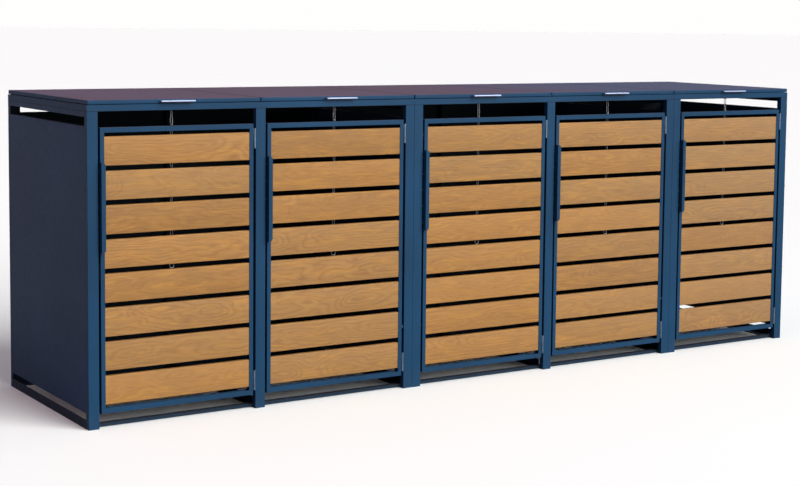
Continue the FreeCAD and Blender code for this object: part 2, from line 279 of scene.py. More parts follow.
def grown(tree, values, base=None, smooth_below=0.0):
    """The plain mesh that a tree makes with these values for its named inputs."""
    carrier = bpy.data.objects.new("carrier", base or bpy.data.meshes.new("carrier"))
    bpy.context.collection.objects.link(carrier)
    modifier = carrier.modifiers.new("Nodes", "NODES")
    modifier.node_group = tree
    for item in tree.interface.items_tree:
        if item.item_type == "SOCKET" and item.name in values:
            modifier[item.identifier] = values[item.name]
    mesh = plain_mesh(carrier)
    bpy.data.objects.remove(carrier)
    mesh.materials.clear()
    mesh.materials.append(values["Finish"])
    mesh.polygons.foreach_set("material_index", [0] * len(mesh.polygons))
    if smooth_below:
        mesh.shade_smooth()
        mesh.set_sharp_from_angle(angle=math.radians(smooth_below))
    return mesh


def slat_tree():
    tree, given = new_tree("Slats of a door", {
        "Start": "Vector", "Length": "Float", "Height": "Float", "Thickness": "Float",
        "Edge Radius": "Float", "Pitch": "Float", "Count": "Int", "Seed": "Int",
        "Finish": "Material"})
    section = wire(tree, "GeometryNodeCurvePrimitiveQuadrilateral", {
        "Width": given["Thickness"], "Height": given["Height"]})
    soft = wire(tree, "GeometryNodeFilletCurve", {
        "Curve": section.outputs[0], "Radius": given["Edge Radius"], "Count": 4}, mode="POLY")
    end = wire(tree, "ShaderNodeCombineXYZ", {"X": given["Length"]})
    line = wire(tree, "GeometryNodeCurvePrimitiveLine", {"End": end.outputs[0]})
    plank = wire(tree, "GeometryNodeCurveToMesh", {
        "Curve": line.outputs[0], "Profile Curve": soft.outputs[0], "Fill Caps": True})
    step = wire(tree, "ShaderNodeCombineXYZ", {"Z": given["Pitch"]})
    row = wire(tree, "GeometryNodeMeshLine", {
        "Count": given["Count"], "Start Location": given["Start"], "Offset": step.outputs[0]},
        mode="OFFSET")
    planks = wire(tree, "GeometryNodeInstanceOnPoints", {
        "Points": row.outputs[0], "Instance": plank.outputs[0]})
    luck = wire(tree, "FunctionNodeRandomValue", {"Seed": given["Seed"]}, data_type="FLOAT")
    marked = wire(tree, "GeometryNodeStoreNamedAttribute", {
        "Geometry": planks.outputs[0], "Name": "plank", "Value": luck.outputs[1]},
        data_type="FLOAT", domain="INSTANCE")
    end_tree(tree, marked.outputs[0], given["Finish"])
    return tree


def oak_finish(course_start, course_height):
    """Flat sawn oak: growth rings round a pith that lies near each plank, pores and colour drift,
    and painted shade that makes it a little greyer towards the right.
    A course is the height of one slat with its gap, and start is the level of the first."""
    material, tree, shader, place = new_finish("oiled oak", Specular_IOR_Level=0.25)
    spot = place.outputs["Object"]
    plank = wire(tree, "ShaderNodeAttribute", attribute_name="plank")
    lots = wire(tree, "ShaderNodeTexWhiteNoise", {"W": plank.outputs["Fac"]}, noise_dimensions="1D")
    other = wire(tree, "ShaderNodeMath", {0: plank.outputs["Fac"], 1: 7.31}, operation="ADD")
    more = wire(tree, "ShaderNodeTexWhiteNoise", {"W": other.outputs[0]}, noise_dimensions="1D")
    luck = wire(tree, "ShaderNodeSeparateColor", {"Color": lots.outputs["Color"]})
    chance = wire(tree, "ShaderNodeSeparateColor", {"Color": more.outputs["Color"]})
    shift = wire(tree, "ShaderNodeVectorMath", {0: lots.outputs["Color"], 1: (9.0, 5.0, 7.0)},
                 operation="MULTIPLY")
    moved = wire(tree, "ShaderNodeVectorMath", {0: spot, 1: shift.outputs[0]}, operation="ADD")
    slow = wire(tree, "ShaderNodeMapping", {"Vector": moved.outputs[0], "Scale": (3.2, 6.0, 9.0)})
    sway = wire(tree, "ShaderNodeTexNoise", {"Vector": slow.outputs[0], "Scale": 1.0, "Detail": 2.0,
                                             "Roughness": 0.45})
    axes = wire(tree, "ShaderNodeSeparateXYZ", {"Vector": spot})
    course = wire(tree, "ShaderNodeMath", {0: axes.outputs["Z"], 1: -course_start}, operation="ADD")
    turn = wire(tree, "ShaderNodeMath", {0: course.outputs[0], 1: course_height, 2: 0.0},
                operation="WRAP")
    across = wire(tree, "ShaderNodeMapRange", {"Value": luck.outputs["Red"], "To Min": -0.03,
                                               "To Max": -0.09})
    height = wire(tree, "ShaderNodeMath", {0: turn.outputs[0], 1: across.outputs[0]}, operation="ADD")
    deep = wire(tree, "ShaderNodeMapRange", {"Value": luck.outputs["Blue"], "To Min": 0.0,
                                             "To Max": 0.05})
    wave = wire(tree, "ShaderNodeMapRange", {"Value": sway.outputs["Fac"], "From Min": 0.25,
                                             "From Max": 0.75, "To Min": -0.055, "To Max": 0.055})
    depth = wire(tree, "ShaderNodeMath", {0: deep.outputs[0], 1: wave.outputs[0]}, operation="ADD")
    cells = wire(tree, "ShaderNodeMapping", {"Vector": moved.outputs[0], "Scale": (5.5, 0.01, 14.0)})
    spots = wire(tree, "ShaderNodeTexVoronoi", {"Vector": cells.outputs[0], "Scale": 1.0})
    pick = wire(tree, "ShaderNodeSeparateColor", {"Color": spots.outputs["Color"]})
    knotty = ramp(tree, pick.outputs["Red"], [(0.60, 0.0), (0.64, 1.0)])
    near = ramp(tree, spots.outputs["Distance"], [(0.02, 1.0), (0.26, 0.0)])
    knot = wire(tree, "ShaderNodeMath", {0: knotty, 1: near}, operation="MULTIPLY")
    cut = wire(tree, "ShaderNodeCombineXYZ", {"X": depth.outputs[0], "Z": height.outputs[0]})
    ring = wire(tree, "ShaderNodeVectorMath", {0: cut.outputs[0]}, operation="LENGTH")
    count = wire(tree, "ShaderNodeMath", {0: ring.outputs["Value"], 1: 80.0}, operation="MULTIPLY")
    bent = wire(tree, "ShaderNodeMath", {0: knot.outputs[0], 1: 1.6, 2: count.outputs[0]},
                operation="MULTIPLY_ADD")
    part = wire(tree, "ShaderNodeMath", {0: bent.outputs[0]}, operation="FRACT")
    year = ramp(tree, part.outputs[0], [(0.0, 0.75), (0.25, 0.2), (0.55, 0.0), (0.85, 0.35), (1.0, 0.75)])
    thin = wire(tree, "ShaderNodeMapping", {"Vector": moved.outputs[0], "Scale": (14.0, 650.0, 650.0)})
    pores = wire(tree, "ShaderNodeTexNoise", {"Vector": thin.outputs[0], "Scale": 1.0, "Detail": 4.0,
                                              "Roughness": 0.7})
    pits = ramp(tree, pores.outputs["Fac"], [(0.46, 0.0), (0.62, 1.0)])
    tone = blend_colour(tree, chance.outputs["Red"], tint(150, 108, 57), tint(175, 130, 75))
    hue = blend_colour(tree, chance.outputs["Green"], tone, tint(161, 124, 77))
    drift = ramp(tree, sway.outputs["Fac"], [(0.3, 0.92), (0.7, 1.0)])
    toned = blend_colour(tree, 1.0, hue, drift, "MULTIPLY")
    broad = wire(tree, "ShaderNodeMapping", {"Vector": moved.outputs[0], "Scale": (6.0, 42.0, 42.0)})
    patch = wire(tree, "ShaderNodeTexNoise", {"Vector": broad.outputs[0], "Scale": 1.0,
                                              "Detail": 4.0, "Distortion": 1.2})
    golden = ramp(tree, patch.outputs["Fac"], [(0.44, 0.0), (0.72, 0.5)])
    toned = blend_colour(tree, golden, toned, tint(196, 143, 66))
    force = wire(tree, "ShaderNodeMapRange", {"Value": chance.outputs["Blue"], "To Min": 0.30,
                                              "To Max": 0.59})
    dark = wire(tree, "ShaderNodeMath", {0: year, 1: force.outputs[0]}, operation="MULTIPLY")
    ringed = blend_colour(tree, dark.outputs[0], toned, tint(122, 80, 46))
    pitted = wire(tree, "ShaderNodeMath", {0: pits, 1: 0.32}, operation="MULTIPLY")
    fine = blend_colour(tree, pitted.outputs[0], ringed, tint(96, 60, 34))
    rosy = wire(tree, "ShaderNodeMath", {0: knot.outputs[0], 1: 0.28}, operation="MULTIPLY")
    grained = blend_colour(tree, rosy.outputs[0], fine, tint(142, 90, 62))
    # Painted shade: greyer towards the right, where the lamps light the slats more.
    right_shade = wire(tree, "ShaderNodeMapRange", {"Value": axes.outputs["X"], "From Min": 0.2,
                                               "From Max": 1.6, "To Min": 0.0, "To Max": 0.18})
    right_shaded = blend_colour(tree, right_shade.outputs[0], grained, tint(134, 124, 110))
    tree.links.new(right_shaded, shader.inputs["Base Color"])
    gloss = wire(tree, "ShaderNodeMapRange", {"Value": pits, "To Min": 0.46, "To Max": 0.68})
    tree.links.new(gloss.outputs[0], shader.inputs["Roughness"])
    lift = wire(tree, "ShaderNodeMath", {0: 1.0, 1: pits}, operation="SUBTRACT")
    bump = wire(tree, "ShaderNodeBump", {"Height": lift.outputs[0], "Strength": 0.35,
                                         "Distance": 0.0004})
    tree.links.new(bump.outputs["Normal"], shader.inputs["Normal"])
    return material


slat_count, slat_pitch, slat_height, eased_edge = 8, 0.122943, 0.104, 0.0025
oak = oak_finish(course_start=0.0762, course_height=slat_pitch)
slats_of = slat_tree()
for number in doors:
    node = "door_slats_%d" % number
    low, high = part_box(node)
    thickness = high.y - low.y
    planks = grown(slats_of, {
        "Start": (low.x, (low.y + high.y) / 2.0, low.z + slat_height / 2.0),
        "Length": high.x - low.x, "Height": slat_height, "Thickness": thickness,
        "Edge Radius": eased_edge, "Pitch": slat_pitch, "Count": slat_count, "Seed": number,
        "Finish": oak}, smooth_below=40.0)
    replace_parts(show("slats_%d" % number, planks, "door_%d" % number), node)


# Door grips: sheet strip, folded and with bevelled ends, screwed to the side of the free stile.
# Coated with the door.
for number in doors:
    eased("door_handle_%d" % number, "door_%d" % number, blue, radius=0.0007)


# Hinges: satin stainless leaves with rolled knuckles round a loose pin with a head. A door's are
# screwed to its stile and its post, a lid's to its back lip and the top frame.
def bare_steel(name, colour, roughness, streak, dirty=0.7):
    """Bare metal with fine rolling marks, a little dirt and uneven gloss. The marks run along the
    axis with the smallest number in streak."""
    material, tree, shader, place = new_finish(name, Metallic=1.0)
    spot = place.outputs["Object"]
    drawn = wire(tree, "ShaderNodeMapping", {"Vector": spot, "Scale": streak})
    marks = wire(tree, "ShaderNodeTexNoise", {"Vector": drawn.outputs[0], "Scale": 1.0, "Detail": 5.0})
    dirt = wire(tree, "ShaderNodeTexNoise", {"Vector": spot, "Scale": 90.0, "Detail": 4.0})
    shade = ramp(tree, dirt.outputs["Fac"], [(0.35, [dirty * v for v in colour[:3]] + [1.0]),
                                             (0.6, colour)])
    tree.links.new(shade, shader.inputs["Base Color"])
    gloss = wire(tree, "ShaderNodeMapRange", {"Value": marks.outputs["Fac"],
                                              "To Min": roughness - 0.12, "To Max": roughness + 0.15})
    tree.links.new(gloss.outputs[0], shader.inputs["Roughness"])
    bump = wire(tree, "ShaderNodeBump", {"Height": marks.outputs["Fac"], "Strength": 0.15,
                                         "Distance": 0.0002})
    tree.links.new(bump.outputs["Normal"], shader.inputs["Normal"])
    return material


def set_out(places):
    """A mesh of points for a tree, each with the direction that its piece faces."""
    mesh = bpy.data.meshes.new("places")
    mesh.from_pydata([spot for spot, facing in places], [], [])
    ways = mesh.attributes.new("facing", "FLOAT_VECTOR", "POINT")
    ways.data.foreach_set("vector", [v for spot, facing in places for v in facing])
    return mesh


def turned_part(tree, solids, turn):
    """Solids joined, turned together and set on every point that the tree is given."""
    whole = wire(tree, "GeometryNodeJoinGeometry")
    for solid in solids:
        tree.links.new(solid.outputs[0], whole.inputs[0])
    angle = wire(tree, "FunctionNodeEulerToRotation", {0: turn})
    laid = wire(tree, "GeometryNodeTransform", {"Geometry": whole.outputs[0], "Rotation": angle.outputs[0]})
    return wire(tree, "GeometryNodeInstanceOnPoints", {
        "Points": tree.nodes["Group Input"].outputs["Geometry"], "Instance": laid.outputs[0]}).outputs[0]


def joined(meshes):
    """Several meshes with one finish as one."""
    work = bmesh.new()
    for mesh in meshes:
        work.from_mesh(mesh)
    made = bpy.data.meshes.new("joined")
    work.to_mesh(made)
    work.free()
    made.materials.append(meshes[0].materials[0])
    return made


def round_bar(tree, radius, length, start):
    """A round bar along Z from a level on."""
    half = wire(tree, "ShaderNodeMath", {0: length, 1: 0.5, 2: start}, operation="MULTIPLY_ADD")
    up = wire(tree, "ShaderNodeCombineXYZ", {"Z": half.outputs[0]})
    bar = wire(tree, "GeometryNodeMeshCylinder", {"Vertices": 28, "Radius": radius, "Depth": length})
    return wire(tree, "GeometryNodeTransform", {"Geometry": bar.outputs[0], "Translation": up.outputs[0]})


def leaf_tree():
    tree, given = new_tree("Hinge leaves", {
        "Knuckle Radius": "Float", "Knuckle Start": "Float", "Knuckle Length": "Float",
        "Leaf Centre": "Vector", "Leaf Size": "Vector", "Neck Centre": "Vector",
        "Neck Size": "Vector", "Turn": "Vector", "Finish": "Material"})
    solids = [round_bar(tree, given["Knuckle Radius"], given["Knuckle Length"], given["Knuckle Start"])]
    for part in ("Leaf", "Neck"):
        plate = wire(tree, "GeometryNodeMeshCube", {"Size": given[part + " Size"]})
        solids.append(wire(tree, "GeometryNodeTransform", {
            "Geometry": plate.outputs[0], "Translation": given[part + " Centre"]}))
    end_tree(tree, turned_part(tree, solids, given["Turn"]), given["Finish"])
    return tree


def pin_tree():
    tree, given = new_tree("Hinge pins", {
        "Radius": "Float", "Length": "Float", "Head Radius": "Float", "Head Height": "Float",
        "Turn": "Vector", "Finish": "Material"})
    solids = [round_bar(tree, given["Radius"], given["Length"], 0.0),
              round_bar(tree, given["Head Radius"], given["Head Height"], given["Length"])]
    end_tree(tree, turned_part(tree, solids, given["Turn"]), given["Finish"])
    return tree


def leaves(places, upper, leaf, radius, length, turn):
    """Leaves on their pins' lower ends: a leaf is a plate and a neck, as (x0, x1, y0, y1) round the pin."""
    plate, neck = leaf
    play = 0.0003
    start = length / 2.0 + play if upper else 0.0
    run = length - start if upper else length / 2.0
    middle = start + run / 2.0
    made = grown(leaves_of, {
        "Knuckle Radius": radius, "Knuckle Start": start, "Knuckle Length": run,
        "Leaf Centre": ((plate[0] + plate[1]) / 2.0, (plate[2] + plate[3]) / 2.0, length / 2.0),
        "Leaf Size": (plate[1] - plate[0], plate[3] - plate[2], length),
        "Neck Centre": ((neck[0] + neck[1]) / 2.0, (neck[2] + neck[3]) / 2.0, middle),
        "Neck Size": (neck[1] - neck[0], neck[3] - neck[2], run),
        "Turn": turn, "Finish": satin}, set_out(places))
    return softened(made, deburred)


# The satin steel of hinges, pins, screws and bolts is tinted blue: a painted reflection of the blue round
# it.
satin = bare_steel("satin hinge steel blue from painted reflection", tint(134, 156, 174), roughness=0.4, streak=(700.0, 700.0, 30.0))
leaves_of, pins_of = leaf_tree(), pin_tree()
upright, along_x = (0.0, 0.0, 0.0), (0.0, math.pi / 2.0, 0.0)
deburred = 0.0003
door_hinge = {"radius": 0.00428, "length": 0.074, "turn": upright}
lid_hinge = {"radius": 0.00475, "length": 0.080, "turn": along_x}
stile_leaf = (-0.005, -0.003, 0.0048, 0.020), (-0.005, -0.003, 0.0, 0.0049)
post_leaf = (0.003, 0.005, 0.0048, 0.020), (0.003, 0.005, 0.0, 0.0049)
lip_leaf = (-0.01595, -0.0053, -0.0054, -0.0034), (-0.0054, 0.0, -0.0054, -0.0034)
rail_leaf = (0.0053, 0.02345, -0.0054, -0.0034), (0.0, 0.0054, -0.0054, -0.0034)
door_pin_in, lid_pin_in, lid_pin_level = 0.005, 0.0054, 1.16375
door_pins, lid_pins = [], []
for number in doors:
    low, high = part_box("door_hinges_%d" % number)
    axis_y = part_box("door_frame_%d" % number)[0].y
    places = [((low.x + door_pin_in, axis_y, z), (0, 0, 1))
              for z in (low.z, high.z - door_hinge["length"])]
    door_pins += places
    made = leaves(places, True, stile_leaf, **door_hinge)
    piece = show("door_hinge_leaves_%d" % number, made, "door_%d" % number)
    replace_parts(piece, "door_hinges_%d" % number)
    low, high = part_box("lid_hinges_%d" % number)
    places = [((x, low.y + lid_pin_in, lid_pin_level), (0, 0, 1))
              for x in (low.x, high.x - lid_hinge["length"])]
    lid_pins += places
    made = leaves(places, True, lip_leaf, **lid_hinge)
    piece = show("lid_hinge_leaves_%d" % number, made, "lid_%d" % number)
    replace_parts(piece, "lid_hinges_%d" % number)
made = leaves(door_pins, False, post_leaf, **door_hinge)
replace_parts(show("post_leaves", made, "store"), "door_hinge_leaves")
made = leaves(lid_pins, False, rail_leaf, **lid_hinge)
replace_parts(show("rail_leaves", made, "store"), "lid_hinge_leaves")
pin = {"Radius": 0.0025, "Head Height": 0.0015, "Finish": satin}
pins = joined([
    grown(pins_of, {**pin, "Length": hinge["length"], "Head Radius": head, "Turn": hinge["turn"]},
          set_out(places))
    for places, hinge, head in ((door_pins, door_hinge, 0.0040), (lid_pins, lid_hinge, 0.0045))])
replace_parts(show("pins", softened(pins, deburred), "store"), "hinge_pins")


# Screws: button heads with a hexagon recess, on the hinge leaves, the grips' webs, the catches
# and the back of the stiles, where two at each end hold a slat.
def set_facing(tree, part):
    """The part on every point that the tree is given, with its Z along the point's facing."""
    facing = wire(tree, "GeometryNodeInputNamedAttribute", {"Name": "facing"},
                  data_type="FLOAT_VECTOR")
    turned = wire(tree, "FunctionNodeAlignRotationToVector", {"Vector": facing.outputs[0]}, axis="Z")
    return wire(tree, "GeometryNodeInstanceOnPoints", {
        "Points": tree.nodes["Group Input"].outputs["Geometry"], "Instance": part.outputs[0],
        "Rotation": turned.outputs[0]}).outputs[0]


def screw_tree():
    tree, given = new_tree("Button head screws", {
        "Head Radius": "Float", "Crown Radius": "Float", "Head Height": "Float",
        "Recess Radius": "Float", "Finish": "Material"})
    dome = wire(tree, "GeometryNodeMeshCone", {
        "Vertices": 12, "Radius Top": given["Crown Radius"], "Radius Bottom": given["Head Radius"],
        "Depth": given["Head Height"]})
    key = wire(tree, "GeometryNodeMeshCylinder", {
        "Vertices": 6, "Radius": given["Recess Radius"], "Depth": given["Head Height"]})
    lift = wire(tree, "ShaderNodeCombineXYZ", {"Z": given["Head Height"]})
    raised = wire(tree, "GeometryNodeTransform", {
        "Geometry": key.outputs[0], "Translation": lift.outputs[0]})
    head = wire(tree, "GeometryNodeMeshBoolean", {
        "Mesh 1": dome.outputs[0], "Mesh 2": raised.outputs[0]}, operation="DIFFERENCE")
    end_tree(tree, set_facing(tree, head), given["Finish"])
    return tree


def screws(name, places, body, radius):
    heads = grown(screws_of, {
        "Head Radius": radius, "Crown Radius": radius * 0.72, "Head Height": radius * 0.36,
        "Recess Radius": radius * 0.42, "Finish": satin}, set_out(places), smooth_below=35.0)
    show(name, heads, body)


screws_of = screw_tree()
small_head, slat_head = 0.003, 0.0034
sheet, post_depth, leaf_gap = 0.002, 0.025, 0.006
door_holes, lid_holes = (0.012, 0.037, 0.062), (0.014, 0.040, 0.066)
rail_row, lid_row = 1.149, 1.1745
grip_screws, grip_end, grip_row = 5, 0.03, 0.007
slat_screw_in, slat_screw_off = 0.008, 0.03
catch_in, catch_level, catch_screw_off = 0.017, 0.568, 0.018
leaf_screws, lid_leaf_screws, catch_screws = [], [], []
for number in doors:
    door = "door_%d" % number
    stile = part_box("door_frame_%d" % number)
    low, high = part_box("door_hinges_%d" % number)
    leaf_x, middle_y = stile[1].x + sheet, stile[0].y + post_depth / 2.0
    levels = [foot + rise for foot in (low.z, high.z - door_hinge["length"]) for rise in door_holes]
    leaf_screws += [((leaf_x + leaf_gap, middle_y, z), (-1, 0, 0)) for z in levels]
    screws("door_hinge_screws_%d" % number, [((leaf_x, middle_y, z), (1, 0, 0)) for z in levels],
           door, small_head)
    low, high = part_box("door_handle_%d" % number)
    pitch = (high.z - low.z - 2.0 * grip_end) / (grip_screws - 1)
    screws("grip_screws_%d" % number,
           [((low.x, stile[0].y + grip_row, low.z + grip_end + i * pitch), (-1, 0, 0))
            for i in range(grip_screws)], door, small_head)
    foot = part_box("door_slats_%d" % number)[0].z
    middles = [foot + i * slat_pitch + slat_height / 2.0 for i in range(slat_count)]
    screws("slat_screws_%d" % number,
           [((x, stile[1].y, middle + off), (0, 1, 0)) for middle in middles
            for x in (stile[0].x + slat_screw_in, stile[1].x - slat_screw_in)
            for off in (-slat_screw_off, slat_screw_off)], door, slat_head)
    low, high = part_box("lid_hinges_%d" % number)
    across = [left + along for left in (low.x, high.x - lid_hinge["length"]) for along in lid_holes]
    lid_leaf_screws += [((x, low.y + sheet, rail_row), (0, 1, 0)) for x in across]
    screws("lid_hinge_screws_%d" % number, [((x, low.y + sheet, lid_row), (0, 1, 0)) for x in across],
           "lid_%d" % number, small_head)
    catch = stile[0] + Vector((-catch_in, post_depth + sheet, 0.0))
    catch_screws += [((catch.x, catch.y, catch_level + off), (0, 1, 0))
                     for off in (-catch_screw_off, catch_screw_off)]
screws("leaf_screws", leaf_screws + lid_leaf_screws, "store", small_head)
screws("catch_screws", catch_screws, "store", small_head)


# Bolts: hexagon heads and nuts on washers, two at the front and two at the back of each joint.
# They draw the posts of two neighbouring units together.
def bolt_tree():
    tree, given = new_tree("Hexagon heads", {
        "Head Radius": "Float", "Head Height": "Float", "Washer Radius": "Float",
        "Washer Height": "Float", "Finish": "Material"})
    low = wire(tree, "ShaderNodeMath", {0: given["Washer Height"], 1: 0.5}, operation="MULTIPLY")
    high = wire(tree, "ShaderNodeMath", {0: given["Head Height"], 1: 0.5, 2: given["Washer Height"]},
                operation="MULTIPLY_ADD")
    whole = wire(tree, "GeometryNodeJoinGeometry")
    for sides, piece, level in ((24, "Washer", low), (6, "Head", high)):
        disc = wire(tree, "GeometryNodeMeshCylinder", {
            "Vertices": sides, "Radius": given[piece + " Radius"], "Depth": given[piece + " Height"]})
        up = wire(tree, "ShaderNodeCombineXYZ", {"Z": level.outputs[0]})
        raised = wire(tree, "GeometryNodeTransform", {
            "Geometry": disc.outputs[0], "Translation": up.outputs[0]})
        tree.links.new(raised.outputs[0], whole.inputs[0])
    end_tree(tree, set_facing(tree, whole), given["Finish"])
    return tree


post_width, bolt_levels = 0.040, (0.25, 1.02)
ends = []
for left, right in (("a", "b"), ("b", "c")):
    front_y, back_y = (corner.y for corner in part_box("posts_" + left))
    for y in (front_y + post_depth / 2.0, back_y - post_depth / 2.0):
        for z in bolt_levels:
            ends.append(((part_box("posts_" + left)[1].x - post_width, y, z), (-1, 0, 0)))
            ends.append(((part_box("posts_" + right)[0].x + post_width, y, z), (1, 0, 0)))
heads = grown(bolt_tree(), {
    "Head Radius": 0.0065, "Head Height": 0.004, "Washer Radius": 0.008, "Washer Height": 0.0012,
    "Finish": satin}, set_out(ends))
show("joining_bolts", softened(heads, deburred), "store")


# Magnet catches: a zinc plated plate, screwed to the back of each post beside a free stile.
# A round magnet sits in its hole and faces the stile.
zinc = bare_steel("zinc plate", tint(168, 170, 168), roughness=0.4, streak=(300.0, 300.0, 300.0))
eased("door_catches", "store", zinc, deburred)


# Buffers: moulded black rubber blocks, stuck on the top frame under the side lips of the lids.
# They keep the sheet from striking the frame.
def rubber_finish():
    material, tree, shader, place = new_finish("black rubber")
    grain = wire(tree, "ShaderNodeTexNoise", {"Vector": place.outputs["Object"], "Scale": 700.0,
                                              "Detail": 3.0})
    tree.links.new(ramp(tree, grain.outputs["Fac"], [(0.3, tint(20, 20, 21)), (0.7, tint(38, 38, 39))]),
                   shader.inputs["Base Color"])
    gloss = wire(tree, "ShaderNodeMapRange", {"Value": grain.outputs["Fac"], "To Min": 0.6,
                                              "To Max": 0.85})
    tree.links.new(gloss.outputs[0], shader.inputs["Roughness"])
    return material


eased("lid_buffers", "store", rubber_finish(), radius=0.0008)


# Lids: trays folded from 2 mm sheet with welded corners, coated blue, with dust and a painted sheen on top.
# The top turns cool grey towards the right, and a painted shadow line darkens the top where two lids meet.
def cool_top_and_shade_seams(material, seams, cool_tint, start, end):
    """Cools the dust and painted sheen on top from start to end along X, and paints a shadow line at each
    seam.
    """
    tree = material.node_tree
    shader = tree.nodes["Principled BSDF"]
    place = wire(tree, "ShaderNodeTexCoord")
    spot = wire(tree, "ShaderNodeSeparateXYZ", {"Vector": place.outputs["Object"]})
    way = wire(tree, "ShaderNodeSeparateXYZ", {"Vector": place.outputs["Normal"]})
    top = wire(tree, "ShaderNodeMapRange", {"Value": way.outputs["Z"], "From Min": 0.8})
    drift = wire(tree, "ShaderNodeTexNoise", {"Vector": place.outputs["Object"], "Scale": 3.0})
    bent = wire(tree, "ShaderNodeMath", {0: drift.outputs["Fac"], 1: 0.25, 2: spot.outputs["X"]},
                operation="MULTIPLY_ADD")
    right = wire(tree, "ShaderNodeMapRange", {"Value": bent.outputs[0], "From Min": start,
                                              "From Max": end, "To Max": 0.8})
    share = wire(tree, "ShaderNodeMath", {0: right.outputs[0], 1: top.outputs[0]}, operation="MULTIPLY")
    coat = shader.inputs["Base Color"].links[0].from_socket
    cooled = blend_colour(tree, share.outputs[0], coat, cool_tint)
    nearest = None
    for seam in seams:
        off = wire(tree, "ShaderNodeMath", {0: spot.outputs["X"], 1: seam}, operation="SUBTRACT")
        gap = wire(tree, "ShaderNodeMath", {0: off.outputs[0]}, operation="ABSOLUTE")
        if nearest:
            gap = wire(tree, "ShaderNodeMath", {0: nearest.outputs[0], 1: gap.outputs[0]},
                       operation="MINIMUM")
        nearest = gap
    # Painted shadow: a dark line on the tops at each seam between two lids.
    line = wire(tree, "ShaderNodeMapRange", {"Value": nearest.outputs[0], "From Min": 0.003,
                                             "From Max": 0.009, "To Min": 0.85, "To Max": 0.0})
    seam_shade = wire(tree, "ShaderNodeMath", {0: line.outputs[0], 1: top.outputs[0]}, operation="MULTIPLY")
    seam_shade_colour = (0.004, 0.006, 0.009, 1.0)
    seam_shaded = blend_colour(tree, seam_shade.outputs[0], cooled, seam_shade_colour)
    tree.links.new(seam_shaded, shader.inputs["Base Color"])


# The lids' reddish tint on top is dust and a painted sheen.
lid_blue = powder_coat("blue coat on the lids", tint(19, 59, 90),
                       top_dust_and_sheen=0.5, foot_dust=0.0, dust_and_sheen=(142, 98, 104))
seams = [(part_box("lid_%d" % number)[1].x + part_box("lid_%d" % (number + 1))[0].x) / 2.0
         for number in range(1, 5)]
cool_top_and_shade_seams(lid_blue, seams, tint(73, 84, 112), start=0.2, end=1.0)
for number in doors:
    eased("lid_%d" % number, "lid_%d" % number, lid_blue, radius=0.0005, fold=0.0028)


# Lid grips: bright stainless tabs, folded, under the middle of each lid's front edge.
# The foot of a tab lies on the lip and is painted flat dark blue, as painted shadow under the tab.
def paint_foot_shadow(material, plane, colour):
    """Makes the steel behind a plane a flat dark colour, not bare: painted shadow under the tab."""
    tree = material.node_tree
    shader = tree.nodes["Principled BSDF"]
    place = wire(tree, "ShaderNodeTexCoord")
    depth = wire(tree, "ShaderNodeSeparateXYZ", {"Vector": place.outputs["Object"]})
    behind = wire(tree, "ShaderNodeMath", {0: depth.outputs["Y"], 1: plane}, operation="GREATER_THAN")
    bare = wire(tree, "ShaderNodeMath", {0: 1.0, 1: behind.outputs[0]}, operation="SUBTRACT")
    tree.links.new(bare.outputs[0], shader.inputs["Metallic"])
    steel = shader.inputs["Base Color"].links[0].from_socket
    mixed = blend_colour(tree, behind.outputs[0], steel, colour)
    tree.links.new(mixed, shader.inputs["Base Color"])


# The tab steel is tinted blue: a painted reflection of the room.
bright = bare_steel("bright steel blue from painted reflection", tint(186, 197, 226),
                    roughness=0.46, streak=(20.0, 900.0, 900.0), dirty=0.94)
tab_stands_off = 0.0022
# Painted shadow: the tab's foot is dark blue under its shelf.
paint_foot_shadow(bright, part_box("lid_1")[0].y - tab_stands_off, tint(20, 50, 82))
for number in doors:
    eased("lid_handle_%d" % number, "lid_%d" % number, bright, radius=0.0004)


